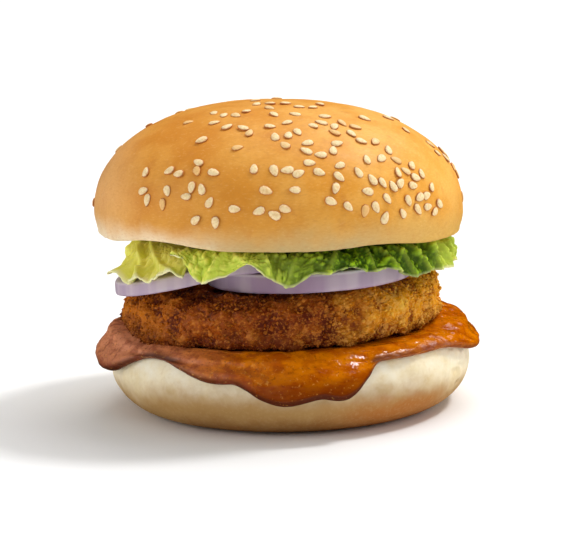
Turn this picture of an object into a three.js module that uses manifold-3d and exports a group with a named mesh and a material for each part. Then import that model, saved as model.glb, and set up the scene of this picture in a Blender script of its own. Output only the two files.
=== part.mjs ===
// A burger with a crumbed paneer patty, stacked as it is served: a plain bun base, thick sauce
// that runs over its rim, the fried patty, two slices of onion, two torn lettuce leaves and a
// domed bun top with sesame seeds.
// Millimetres, +Z up. The origin is the middle of the flat that the bun base rests on, and the
// side that the sauce drips over faces -Y.
import * as THREE from "three";
import { mergeVertices } from "three/addons/utils/BufferGeometryUtils.js";
import { ImprovedNoise } from "three/addons/math/ImprovedNoise.js";
import Module from "manifold-3d";

const wasm = await Module();
wasm.setup();

const FIT = 0.3; // clearance between one piece and the next

const BUN_BASE = { radius: 50.9, widestAt: 12.5, seat: 38, rim: 49, height: 20.6, cutRound: 2.2 };
const BUN_TOP = {
  radius: 52.4,
  widestAt: 6.4,
  height: 37.2,
  fullness: 2.2,
  rim: 51.3,
  cutRound: 1.4,
  cutWidth: 7,
  hollow: 0.6,
};
const TOP_PLACE = { x: -2.3, y: 0.5, z: 48.6, backTilt: 1.2, sideLean: 1.2 };
const PATTY = { radius: 45.4, thickness: 14.6, foot: 3.6, edge: 6.2, shoulder: 7.5 };
const PATTY_PLACE = { x: -1.8, z: 22.2, lean: 1.6 }; // lean in degrees, higher towards +X
const SAUCE = { film: 0.9, over: 2.1, least: 0.7 };
const ONION = { edge: 1.3, rings: 4, ringWidth: 5.4, groove: 0.45 };
const ONION_LOWER = { radius: 28.6, thickness: 5.2, x: 8.6, y: -13, stretch: 0.01 };
const ONION_UPPER = { radius: 29, thickness: 3.9, x: -15.4, y: -11.5, stretch: 0.04 };
const DRAPE = { slope: 0.37, clear: 3.5 }; // of the upper slice, past the outline of the lower one
const LEAF = { thickness: 0.7, inner: 5, overhang: 6, ripple: 0.55 };
const SEED = { length: 3.9, width: 2.5, height: 1.1, sunk: 0.36 };

// How many steps each piece has round its axis; a leaf's are counted along its margin.
const STEPS = { base: 42, patty: 50, sauce: 58, onion: 28, leafRight: 66, leafLeft: 34, dome: 40, seed: 6 };

const TURN = 2 * Math.PI;
const radians = THREE.MathUtils.degToRad;
const smooth = THREE.MathUtils.smoothstep;
const lerp = THREE.MathUtils.lerp;

// The signed angle in degrees from one direction to another, within half a turn.
const apart = (a, b) => THREE.MathUtils.euclideanModulo(a - b + 180, 360) - 180;

// A rounded lobe that is 1 in the middle and fades out at the given half width, in degrees.
const lobe = (angle, middle, half) => {
  const share = apart(angle, middle) / half;
  return Math.abs(share) >= 1 ? 0 : 0.5 + 0.5 * Math.cos(Math.PI * share);
};

// The solid that a closed geometry bounds, and the geometry that a solid has.
function solidOf(geometry) {
  const bare = new THREE.BufferGeometry();
  bare.setAttribute("position", geometry.getAttribute("position"));
  bare.setIndex(geometry.index);
  const merged = mergeVertices(bare, 1e-4);
  return new wasm.Manifold(
    new wasm.Mesh({
      numProp: 3,
      vertProperties: merged.attributes.position.array,
      triVerts: new Uint32Array(merged.index.array),
    }),
  );
}

function geometryOf(solid) {
  const mesh = solid.getMesh();
  const geometry = new THREE.BufferGeometry();
  geometry.setAttribute("position", new THREE.BufferAttribute(mesh.vertProperties, 3));
  geometry.setIndex(new THREE.BufferAttribute(mesh.triVerts, 1));
  geometry.computeVertexNormals();
  return geometry;
}

// A closed solid turned about the vertical axis, whose half section may change with the angle.
// sectionAt(degrees) gives as many [radius, height] points at every angle, from the axis below
// round the outside to the axis on top.
function turned(sectionAt, steps) {
  const lathe = new THREE.LatheGeometry(
    sectionAt(0).map(([r, z]) => new THREE.Vector2(r, z)),
    steps,
  );
  const position = lathe.getAttribute("position");
  const count = position.count / (steps + 1);
  for (let step = 0; step <= steps; step++) {
    const angle = (step / steps) * TURN;
    sectionAt((step / steps) * 360).forEach(([r, z], i) =>
      position.setXYZ(step * count + i, r * Math.cos(angle), r * Math.sin(angle), z),
    );
  }
  return lathe;
}

// A quarter round in a half section, from one corner point to the other, bulging outwards.
function quarter([r0, z0], [r1, z1], steps, startsLevel) {
  return Array.from({ length: steps + 1 }, (_, i) => {
    const turn = (i / steps) * (Math.PI / 2);
    const [a, b] = startsLevel
      ? [Math.sin(turn), 1 - Math.cos(turn)]
      : [1 - Math.cos(turn), Math.sin(turn)];
    return [lerp(r0, r1, a), lerp(z0, z1, b)];
  });
}

// ---- Bun base ----

// How far the base's side stands out or in of its true circle, as a share of its radius.
const baseUneven = (degrees) => {
  const a = radians(degrees);
  return 0.012 * Math.cos(a) + 0.006 * Math.cos(2 * a + 0.6) + 0.005 * Math.cos(3 * a + 2.1);
};

// How far the side of the base is from its axis at a height above its foot.
function breadSide(degrees, z) {
  const { radius, widestAt, seat, rim, height, cutRound } = BUN_BASE;
  const wide = 1 + baseUneven(degrees);
  const shoulder = height - cutRound;
  if (z > shoulder) {
    const up = Math.min((z - shoulder) / cutRound, 1);
    return rim * wide - cutRound * (1 - Math.sqrt(1 - up * up));
  }
  if (z > widestAt) {
    const up = (z - widestAt) / (shoulder - widestAt);
    return lerp(radius, rim, 1 - Math.sqrt(1 - up * up)) * wide;
  }
  const down = 1 - z / widestAt;
  return lerp(seat, radius, Math.sqrt(1 - down * down)) * wide;
}

// Heights at which the half section of the base has a point, from the foot to the cut face.
const BASE_LEVELS = [0, 0.5, 1.7, 3.6, 6.2, 9.2, 12.5, 15.8, 18.4, 19.9, 20.6];

function bunBase() {
  return turned((degrees) => {
    const side = BASE_LEVELS.map((z) => [breadSide(degrees, z), z]);
    return [[0, 0], ...side, [0, BUN_BASE.height]];
  }, STEPS.base);
}

// ---- Patty ----

// Broad lumps from shaping by hand, and the crags of the crumb: how large and how deep.
const LUMPS = { size: 11, depth: 0.9 };
const CRAGS = { size: 3.6, depth: 0.75 };
const reliefNoise = new ImprovedNoise();

function pattyRelief(r, z, degrees) {
  const a = radians(degrees);
  const [x, y] = [r * Math.cos(a), r * Math.sin(a)];
  const [lumps, crags] = [LUMPS, CRAGS].map(
    ({ size, depth }) => depth * reliefNoise.noise(x / size, y / size, z / size),
  );
  return lumps + crags;
}

function pattySection(degrees, grow = 0) {
  const { radius, thickness } = PATTY;
  const a = radians(degrees);
  const pressed = 1 + 0.6 * lobe(degrees, 183, 80); // the left shoulder is pressed rounder
  const [edge, shoulder] = [PATTY.edge * pressed, PATTY.shoulder * pressed];
  const wide = radius * (1 + 0.006 * Math.cos(2 * a + 1) + 0.006 * Math.cos(5 * a)) + grow;
  const top = thickness + grow;
  const flat = wide - shoulder;
  const lower = quarter([wide - PATTY.foot, -grow], [wide, PATTY.foot], 4, true);
  const upper = quarter([wide, thickness - edge], [flat, top], 4, false);
  const ring = [[0, -grow], ...lower, ...upper, [flat * 0.7, top], [0, top]];
  return ring.map(([r, z]) => [r + (grow ? 0 : smooth(r, 0, flat) * pattyRelief(r, z, degrees)), z]);
}

const patty = (grow = 0) => turned((degrees) => pattySection(degrees, grow), STEPS.patty);

function placePatty(object) {
  object.position.set(PATTY_PLACE.x, 0, PATTY_PLACE.z);
  object.rotation.set(0, radians(-PATTY_PLACE.lean), 0);
  object.updateMatrix();
  return object;
}

// ---- Sauce ----

// Where the sauce runs down the bun's side: [direction in degrees, half width, depth in mm].
const DRIPS = [
  [198, 26, 6.5],
  [249, 24, 4.3],
  [266, 14, 7.6],
  [280, 18, 8],
  [289, 10, 3.4],
  [348, 26, 3.6],
  [26, 22, 5],
  [68, 20, 2.5],
  [106, 17, 6.5],
  [147, 24, 4.5],
];
// Where the pool stands out past the rim: [direction, half width, how far in mm].
const BULGES = [
  [190, 28, 2.8],
  [352, 34, 1.6],
  [268, 22, 0.5],
  [100, 30, 1.2],
];
// Where the pool is thicker: [direction, half width, how much higher in mm].
const MOUNDS = [
  [12, 46, 2.6],
  [182, 34, 2.4],
  [95, 30, 1],
];
const sum = (list, degrees) => {
  const sizes = list.map(([middle, half, size]) => size * lobe(degrees, middle, half));
  return sizes.reduce((all, size) => all + size, 0);
};

// The pool lies on the cut face, follows the bread down to a wavy foot and has a thick round edge.
function sauceSection(degrees) {
  const { height } = BUN_BASE;
  const foot = height - SAUCE.least - sum(DRIPS, degrees);
  const inner = [0, 0.06, 0.2, 0.44, 0.72, 1].map((share) => {
    const z = lerp(height, foot, share);
    return [breadSide(degrees, z) + FIT + 0.25 * share, z + FIT * (1 - share)];
  });
  const past = SAUCE.over + sum(BULGES, degrees);
  const hang = height - foot;
  const side = (share) => breadSide(degrees, lerp(foot, height, share)) + FIT;
  const top = height + FIT + SAUCE.film;
  const mound = sum(MOUNDS, degrees);
  const outer = [
    [side(0) + 0.55 * past, foot - 0.35],
    [side(0.1) + 0.95 * past, foot + 0.12 * hang + 0.3],
    [side(0.5) + past, foot + 0.55 * hang],
    [side(1) + past + 0.6, height - 0.9 + 0.4 * mound],
    [side(1) + past - 0.3, height + 0.3 + 0.8 * mound],
    [side(1) + past - 1.9, top + mound],
    [side(1) - 1.5, top + 0.7 + mound],
    [PATTY.radius - 1.5, top + 0.2 + mound],
  ];
  return [[0, height + FIT], ...inner, ...outer, [0, top]];
}

function sauce() {
  const pool = solidOf(turned(sauceSection, STEPS.sauce));
  const fried = placePatty(new THREE.Mesh(patty(2 * FIT)));
  return geometryOf(pool.subtract(solidOf(fried.geometry.applyMatrix4(fried.matrix))));
}

// ---- Onion ----

// Both cut faces have shallow grooves, where one ring of the onion meets the next.
function onionSection({ radius, thickness }) {
  const { edge, rings, ringWidth, groove } = ONION;
  const half = thickness / 2;
  const flat = radius - edge;
  const face = Array.from({ length: rings }, (_, i) => [
    flat - (rings - i) * ringWidth,
    i % 2 ? half : half - groove,
  ]);
  const below = [...face, [flat, half]].map(([r, z]) => [r, -z]);
  const above = [[flat, half], ...face.reverse()];
  return [[0, -half], ...below, [radius, 0], ...above, [0, half]];
}

function onionSlice(sizes, bend) {
  const section = onionSection(sizes);
  const slice = turned((degrees) => {
    const wide = 1 + sizes.stretch * Math.cos(radians(2 * degrees));
    return section.map(([r, z]) => [r * wide, z]);
  }, STEPS.onion);
  const position = slice.getAttribute("position");
  for (let i = 0; i < position.count; i++) {
    position.setZ(i, position.getZ(i) + bend(position.getX(i), position.getY(i)));
  }
  return slice;
}

// ---- Lettuce ----

// Each leaf lies on the onions, rises to the cut face of the bun top and hangs over the onions in
// lobes. margin and inside are the directions of its two torn ends, at the hanging margin and
// inside. hang and flare give stops of [direction, mm]: how deep the margin hangs there, and how
// far it spreads past the edge.
const LEAVES = {
  right: {
    margin: [235.5, 464],
    inside: [237, 464],
    level: -0.4,
    sag: 0.4,
    edge: 50,
    flare: [
      [235.5, 0],
      [464, 0],
    ],
    hang: [
      [235.5, 1],
      [238.5, 1.6],
      [242.5, 6.6],
      [248.5, 8.8],
      [254, 6.2],
      [259.5, 2.9],
      [267, 6.4],
      [275.5, 9],
      [282.5, 5.1],
      [292, 4.5],
      [305, 5.6],
      [319, 8.5],
      [326.5, 6.9],
      [336, 8.4],
      [348, 5.2],
      [361, 8.6],
      [373, 6],
      [386, 8.4],
      [398, 6.2],
      [411, 8.6],
      [423, 6.4],
      [436, 9],
      [448, 6.8],
      [457, 8.2],
      [464, 5],
    ],
  },
  left: {
    margin: [110, 239],
    inside: [112, 230],
    level: -1.2,
    sag: 0.3,
    edge: 42.4,
    flare: [
      [110, 1],
      [160, 0],
      [194, 0],
      [203, 8],
      [207, 7],
      [213, 8.2],
      [229, 8.2],
      [239, 7.2],
    ],
    hang: [
      [110, 5],
      [121, 9],
      [134, 6.6],
      [147, 9.2],
      [160, 6.4],
      [173, 8.2],
      [185, 5.8],
      [195, 6],
      [203, 8],
      [207, 7.6],
      [218, 8.4],
      [229, 6.8],
      [239, 5.4],
    ],
  },
};
const LEAF_ROWS = { inside: 2, hanging: 4 };
const FLARE_POWER = 4;
const RUFFLES = 25; // small ripples of the margin in a full turn
const SWAY = { folds: 14, degrees: 1.4 };

// The value at a direction between two stops of a list, eased from each stop to the next.
function eased(stops, degrees) {
  const next = Math.max(1, stops.findIndex(([direction]) => direction >= degrees));
  const [[from, low], [to, high]] = [stops[next - 1], stops[next]];
  return lerp(low, high, smooth(degrees, from, to));
}

// around runs from one torn end to the other; out runs from the inside to the hanging margin.
function leafPoint({ margin, inside, level, sag, edge, flare, hang }, around, out) {
  const insideShare = LEAF_ROWS.inside / (LEAF_ROWS.inside + LEAF_ROWS.hanging);
  const hanging = Math.max(0, (out - insideShare) / (1 - insideShare));
  const flat = Math.min(1, out / insideShare);
  const degrees = lerp(lerp(...inside, around), lerp(...margin, around), hanging);
  const turn = radians(degrees);
  const bend = hanging * (Math.PI / 2);
  const bendAt = edge - LEAF.overhang;
  const depth = eased(hang, lerp(...margin, around));
  const spread = eased(flare, lerp(...margin, around)) * hanging ** FLARE_POWER;
  const ripple = LEAF.ripple * Math.sin(RUFFLES * turn) * hanging * hanging;
  const r = lerp(LEAF.inner, bendAt, flat) + LEAF.overhang * Math.sin(bend) + spread + ripple;
  const z = level - sag * (1 - flat * flat) - depth * (1 - Math.cos(bend)) + ripple;
  const a = turn + radians(SWAY.degrees) * Math.sin(SWAY.folds * turn) * hanging;
  return new THREE.Vector3(r * Math.cos(a), r * Math.sin(a), z);
}

// A thin closed sheet over a grid: both faces are split into the same triangles, and a strip
// closes the edge all round.
function sheetSolid(pointAt, across, along, thickness) {
  const grid = [];
  for (let j = 0; j <= along; j++) {
    for (let i = 0; i <= across; i++) grid.push(pointAt(i / across, j / along));
  }
  const at = (i, j) => j * (across + 1) + i;
  const count = grid.length;
  const positions = [];
  grid.forEach((p) => positions.push(p.x, p.y, p.z + thickness / 2));
  grid.forEach((p) => positions.push(p.x, p.y, p.z - thickness / 2));
  const faces = [];
  const square = (a, b, c, d) => {
    faces.push(a, b, c, a, c, d);
    faces.push(a + count, c + count, b + count, a + count, d + count, c + count);
  };
  for (let j = 0; j < along; j++) {
    for (let i = 0; i < across; i++) square(at(i, j), at(i, j + 1), at(i + 1, j + 1), at(i + 1, j));
  }
  const border = [];
  for (let i = 0; i < across; i++) border.push(at(i, 0));
  for (let j = 0; j < along; j++) border.push(at(across, j));
  for (let i = across; i > 0; i--) border.push(at(i, along));
  for (let j = along; j > 0; j--) border.push(at(0, j));
  border.forEach((a, k) => {
    const b = border[(k + 1) % border.length];
    faces.push(a, b, b + count, a, b + count, a + count);
  });
  const geometry = new THREE.BufferGeometry();
  geometry.setAttribute("position", new THREE.Float32BufferAttribute(positions, 3));
  geometry.setIndex(faces);
  geometry.computeVertexNormals();
  return geometry;
}

function lettuceLeaf(leaf, steps) {
  const rows = LEAF_ROWS.inside + LEAF_ROWS.hanging;
  return sheetSolid((around, out) => leafPoint(leaf, around, out), steps, rows, LEAF.thickness);
}

// ---- Bun top ----

// The cut edge isn't quite flat: [direction, half width, how far it rises in mm].
const RISES = [
  [231, 26, 1.7],
  [302, 22, 1],
  [80, 60, 0.9],
];

// How far the dome stands out or in of its true shape, as a share of its radius.
const domeUneven = (degrees, up) => {
  const a = radians(degrees);
  return (0.008 * Math.cos(2 * a + 2.6) + 0.007 * Math.cos(3 * a + 0.4)) * (1 - 0.6 * up * up);
};

// A point of the dome: up is 0 at the widest and 1 at the apex.
function domePoint(degrees, up) {
  const { radius, widestAt, height, fullness } = BUN_TOP;
  const turn = (up * Math.PI) / 2;
  const r = radius * Math.cos(turn) ** (2 / fullness) * (1 + domeUneven(degrees, up));
  return [r, widestAt + (height - widestAt) * Math.sin(turn) ** (2 / fullness)];
}

const DOME_ROWS = 10;

function bunTopSection(degrees) {
  const { widestAt, rim, cutRound, cutWidth, height, hollow } = BUN_TOP;
  const wide = 1 + domeUneven(degrees, 0);
  const edge = sum(RISES, degrees);
  const corner = quarter([rim * wide - cutRound, edge], [rim * wide, edge + cutRound], 2, true);
  const [widest] = domePoint(degrees, 0);
  const dome = Array.from({ length: DOME_ROWS }, (_, i) => domePoint(degrees, (i + 1) / (DOME_ROWS + 1)));
  const cut = [[0, hollow], [rim - cutWidth, hollow + edge / 2]];
  return [...cut, ...corner, [widest, widestAt], ...dome, [0, height]];
}

// A flat pointed seed, its blunt end towards -X and its widest outline just above its underside.
function sesameSeed() {
  const { length, width, height, sunk } = SEED;
  const halfSection = [[0, -0.5], [0.5, -sunk], [0, 0.5]].map(([r, z]) => new THREE.Vector2(r, z));
  const seed = new THREE.LatheGeometry(halfSection, STEPS.seed).rotateX(Math.PI / 2);
  const position = seed.getAttribute("position");
  for (let i = 0; i < position.count; i++) {
    const [x, y, z] = [position.getX(i), position.getY(i), position.getZ(i)];
    position.setXYZ(i, x * length, y * width * (1 - 0.64 * x), z * height);
  }
  return seed;
}

// Where the seeds crowd: [direction, share of the way up, reach in mm, seeds].
const CROWDS = [
  [242, 0.19, 10, 10],
  [248, 0.05, 7, 3],
  [228, 0.17, 5, 3],
  [266, 0.17, 9, 8],
  [262, 0.49, 6, 4],
  [280, 0.31, 10, 9],
  [292, 0.17, 7, 5],
  [301, 0.28, 9, 6],
  [309, 0.11, 10, 13],
  [321, 0.17, 8, 6],
  [285, 0.45, 9, 7],
  [304, 0.42, 8, 4],
  [288, 0.7, 10, 9],
  [240, 0.6, 9, 6],
  [250, 0.8, 9, 6],
  [348, 0.3, 9, 7],
  [20, 0.25, 10, 8],
  [58, 0.15, 10, 9],
  [95, 0.45, 10, 8],
  [128, 0.2, 10, 9],
  [168, 0.5, 10, 6],
];
const SCATTER = { draw: 7, loose: 24, tries: 40, closest: 2.7, lowest: 0.005, highest: 0.97 };

function seedPlaces() {
  const random = THREE.MathUtils.seededRandom;
  random(SCATTER.draw);
  const places = [];
  const surface = (degrees, up) => {
    const a = radians(degrees);
    const [r, z] = domePoint(degrees, up);
    return new THREE.Vector3(r * Math.cos(a), r * Math.sin(a), z);
  };
  const settle = (aim) => {
    for (let tries = 0; tries < SCATTER.tries; tries++) {
      const [degrees, up] = aim();
      if (up < SCATTER.lowest || up > SCATTER.highest) continue;
      const point = surface(degrees, up);
      if (places.some((other) => other.point.distanceTo(point) < SCATTER.closest)) continue;
      const side = surface(degrees + 1, up).sub(point);
      const rise = surface(degrees, up + 0.01).sub(point);
      places.push({ point, normal: side.cross(rise).normalize(), spin: random() * TURN });
      return;
    }
  };
  const upPerMm = 1 / BUN_TOP.radius; // close enough to scatter by, as the dome is flattened
  for (const [direction, up, reach, seeds] of CROWDS) {
    const [r] = domePoint(direction, up);
    for (let i = 0; i < seeds; i++) {
      settle(() => {
        const step = reach * Math.sqrt(random());
        const way = random() * TURN;
        const degrees = direction + THREE.MathUtils.radToDeg((step * Math.cos(way)) / r);
        return [degrees, up + step * Math.sin(way) * upPerMm];
      });
    }
  }
  for (let i = 0; i < SCATTER.loose; i++) {
    settle(() => [random() * 360, Math.asin(random()) / (Math.PI / 2)]);
  }
  return places;
}

function bunTop() {
  const dome = solidOf(turned(bunTopSection, STEPS.dome));
  const seeds = seedPlaces().map(({ point, normal, spin }) => {
    const mesh = new THREE.Object3D();
    mesh.quaternion
      .setFromUnitVectors(new THREE.Vector3(0, 0, 1), normal)
      .multiply(new THREE.Quaternion().setFromAxisAngle(new THREE.Vector3(0, 0, 1), spin));
    mesh.position.copy(point).addScaledVector(normal, SEED.height * (0.5 - SEED.sunk));
    mesh.updateMatrix();
    return solidOf(sesameSeed().applyMatrix4(mesh.matrix));
  });
  return geometryOf(wasm.Manifold.union([dome, ...seeds]));
}

// ---- Materials and the stack ----

const food = (color, roughness) => new THREE.MeshStandardMaterial({ color, roughness, metalness: 0 });
const CRUST = food(0xd9984b, 0.5);
const PALE_CRUMB = food(0xe6d6ae, 0.8);
const FRIED_CRUMB = food(0x8a4a1a, 0.75);
const ORANGE_SAUCE = food(0xa85510, 0.3);
const RED_ONION = food(0xc3aabd, 0.4);
const YELLOW_LEAF = food(0xb9b545, 0.5);
const GREEN_LEAF = food(0x6d9a2c, 0.5);

function piece(name, geometry, material) {
  const mesh = new THREE.Mesh(geometry, material);
  mesh.name = name;
  return mesh;
}

const burger = new THREE.Group();
burger.add(piece("bun_base", bunBase(), PALE_CRUMB));
burger.add(piece("sauce", sauce(), ORANGE_SAUCE));
burger.add(placePatty(piece("patty", patty(), FRIED_CRUMB)));

// The onions lie on the patty and lean with it, the upper one bent over the lower one's edge.
const onions = placePatty(new THREE.Group());
const lowerOnion = piece("onion_lower", onionSlice(ONION_LOWER, () => 0), RED_ONION);
const lowerRest = PATTY.thickness + FIT + ONION_LOWER.thickness / 2;
lowerOnion.position.set(ONION_LOWER.x, ONION_LOWER.y, lowerRest);
const drape = (x, y) => {
  const fromLower = Math.hypot(x + ONION_UPPER.x - ONION_LOWER.x, y + ONION_UPPER.y - ONION_LOWER.y);
  const past = Math.max(0, fromLower - ONION_LOWER.radius - DRAPE.clear);
  return (-DRAPE.slope * past * past) / (past + 2);
};
const upperOnion = piece("onion_upper", onionSlice(ONION_UPPER, drape), RED_ONION);
const upperRest = lowerRest + (ONION_LOWER.thickness + ONION_UPPER.thickness) / 2 + FIT;
upperOnion.position.set(ONION_UPPER.x, ONION_UPPER.y, upperRest);
onions.add(lowerOnion, upperOnion);
burger.add(onions);

// The leaves are pressed against the cut face of the bun top and share its lean.
const lid = new THREE.Group();
lid.position.set(TOP_PLACE.x, TOP_PLACE.y, TOP_PLACE.z);
lid.rotation.set(radians(-TOP_PLACE.backTilt), radians(TOP_PLACE.sideLean), 0);
lid.add(piece("lettuce_right", lettuceLeaf(LEAVES.right, STEPS.leafRight), GREEN_LEAF));
lid.add(piece("lettuce_left", lettuceLeaf(LEAVES.left, STEPS.leafLeft), YELLOW_LEAF));
lid.add(piece("bun_top", bunTop(), CRUST));
burger.add(lid);

export default burger;
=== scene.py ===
import math
import random

import bmesh
import bpy
from mathutils import Matrix, Quaternion, Vector, noise


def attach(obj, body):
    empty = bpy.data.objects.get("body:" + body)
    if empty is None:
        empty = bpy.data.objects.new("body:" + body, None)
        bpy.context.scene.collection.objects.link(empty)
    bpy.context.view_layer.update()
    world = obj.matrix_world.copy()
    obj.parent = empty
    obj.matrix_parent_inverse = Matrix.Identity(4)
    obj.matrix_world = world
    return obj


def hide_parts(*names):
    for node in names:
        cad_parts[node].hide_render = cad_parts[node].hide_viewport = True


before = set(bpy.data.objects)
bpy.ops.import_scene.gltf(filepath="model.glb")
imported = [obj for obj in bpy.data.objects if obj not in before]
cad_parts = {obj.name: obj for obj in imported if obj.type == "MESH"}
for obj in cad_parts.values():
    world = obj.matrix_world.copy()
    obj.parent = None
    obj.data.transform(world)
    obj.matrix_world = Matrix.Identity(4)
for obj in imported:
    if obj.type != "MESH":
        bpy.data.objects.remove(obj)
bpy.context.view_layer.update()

# ---- Sizes in millimetres, in the frame of the solids ----

BUN_BASE = dict(radius=50.9, widest_at=12.5, seat=38, cut=46.8, height=20.6)
BUN_TOP = dict(radius=52.4, widest_at=6.4, height=37.2, fullness=2.2, rim=51.3, cut_round=1.4, hollow=0.6)
PATTY = dict(radius=45.4, thickness=14.6, foot=3.6, edge=6.2, shoulder=7.5)
CRUMBS = dict(count=3400, least=0.45, most=0.88, knocked=0.28, lowest=0.12, highest=0.78)
SAUCE = dict(fit=0.3, film=0.9, over=2.1, least=0.7)
ONION = dict(edge=1.3, ring_width=5.4, groove=0.45)
# For each slice, rim sets the painted highlight on its top edge, and the front shade sets the painted shade
# on the front of its rim (0 for none).
ONION_LOWER = dict(radius=28.6, thickness=5.2, x=8.6, y=-13, stretch=0.01, front_shade=0.6, rim=0.9)
ONION_UPPER = dict(radius=29, thickness=3.9, x=-15.4, y=-11.5, stretch=0.04, front_shade=0, rim=0.3)
DRAPE = dict(slope=0.37, clear=3.5)
LEAF = dict(inner=5, overhang=6, ripple=0.55, wall=0.4)
SEED = dict(length=3.9, width=2.5, height=1.1, sunk=0.36)

TURN = 2 * math.pi
MM = 0.001


def lerp(a, b, share):
    return a + (b - a) * share


def smooth(x, low, high):
    share = min(max((x - low) / (high - low), 0), 1)
    return share * share * (3 - 2 * share)


def apart(a, b):
    """The signed angle in degrees from b to a, within half a turn."""
    return (a - b + 180) % 360 - 180


def lobe(angle, middle, half):
    """A rounded lobe that is 1 in the middle and fades out at the half width, in degrees."""
    share = abs(apart(angle, middle)) / half
    return 0 if share >= 1 else 0.5 + 0.5 * math.cos(math.pi * share)


def total(lobes, degrees):
    return sum(size * lobe(degrees, middle, half) for middle, half, size in lobes)


def eased(stops, degrees):
    """The value at a direction between two stops of a list, eased from each stop to the next."""
    for (start, low), (end, high) in zip(stops, stops[1:]):
        if degrees <= end:
            break
    return lerp(low, high, smooth(degrees, start, end))


def lumps(point, size, seed=0):
    """Soft noise from -1 to 1 with lumps of about this size in mm."""
    return noise.noise(Vector(point) / size + Vector((seed, seed, seed)))


def wander(spot):
    """A soft push of up to 1 along each axis. Blender's own noise_vector differs between runs."""
    return Vector([noise.noise(spot + Vector((shift, -shift, shift))) for shift in (9.3, 40.7, 72.1)])


def grains(point, size, seed=0, crease=0.45, ragged=0):
    """Rounded grains of about this size in mm: 1 in the middle of a grain, 0 between them."""
    spot = Vector(point) / size + Vector((seed, seed, seed))
    near = noise.voronoi(spot + ragged * wander(spot * 1.7))[0]
    return smooth(near[1] - near[0], 0, crease)


def around_axis(degrees, r, z):
    turn = math.radians(degrees)
    return Vector((r * math.cos(turn), r * math.sin(turn), z))


def placed(x=0, y=0, z=0, lean_x=0, lean_y=0):
    """The place of a tilted layer: degrees about X, then about Y."""
    turn_x = Matrix.Rotation(math.radians(lean_x), 4, "X")
    turn_y = Matrix.Rotation(math.radians(lean_y), 4, "Y")
    return Matrix.Translation((x, y, z)) @ turn_x @ turn_y


LID = placed(-2.3, 0.5, 48.6, lean_x=-1.2, lean_y=1.2)
FILLING = placed(-1.8, 0, 22.2, lean_y=-1.6)


# ---- Meshes ----

SECTORS = 40


def turned_skin(place, fine, along):
    """A closed skin round +Z. place(degrees, share) gives a point in mm, and share runs from the
    axis below, out and up, to the axis on top. Each sector of the turn is cut into fine parts."""
    bm = bmesh.new()
    line = [bm.verts.new((1, 0, i / along)) for i in range(along + 1)]
    edges = [bm.edges.new(pair) for pair in zip(line, line[1:])]
    bmesh.ops.spin(bm, geom=line + edges, cent=(0, 0, 0), axis=(0, 0, 1), angle=TURN,
                   steps=SECTORS, use_merge=True)
    rings = [edge for edge in bm.edges if abs(edge.verts[0].co.z - edge.verts[1].co.z) < 0.1 / along]
    bmesh.ops.subdivide_edges(bm, edges=rings, cuts=fine - 1, use_grid_fill=True)
    for vert in bm.verts:
        degrees = math.degrees(math.atan2(vert.co.y, vert.co.x)) % 360
        vert.co = place(degrees, vert.co.z)
    bmesh.ops.remove_doubles(bm, verts=bm.verts, dist=0.001)
    bmesh.ops.recalc_face_normals(bm, faces=bm.faces)
    return bm


def copies(bm, count):
    """Doubles the one shape in a mesh until there are count of it; gives each one's vertices."""
    number = bm.verts.layers.int.new("number")
    made = 1
    while made < count:
        doubled = bmesh.ops.duplicate(bm, geom=bm.verts[:] + bm.edges[:] + bm.faces[:])
        for part in doubled["geom"]:
            if isinstance(part, bmesh.types.BMVert):
                part[number] += made
        made *= 2
    spare = [vert for vert in bm.verts if vert[number] >= count]
    bmesh.ops.delete(bm, geom=spare, context="VERTS")
    shapes = [[] for _ in range(count)]
    for vert in bm.verts:
        shapes[vert[number]].append(vert)
    return shapes


def float_layer(bm, name):
    return bm.verts.layers.float.new(name)


def piece(name, bm, place, material, slot, *nodes):
    """Ends a mesh: puts it in its place in metres, smooth, on the root body, for these CAD nodes."""
    bmesh.ops.transform(bm, matrix=Matrix.Scale(MM, 4) @ place, verts=bm.verts)
    mesh = bpy.data.meshes.new(name)
    bm.to_mesh(mesh)
    bm.free()
    mesh.shade_smooth()
    mesh.materials.append(material)
    obj = bpy.data.objects.new(name, mesh)
    bpy.context.scene.collection.objects.link(obj)
    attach(obj, "root")
    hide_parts(*nodes)
    return obj


# ---- Materials ----

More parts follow.
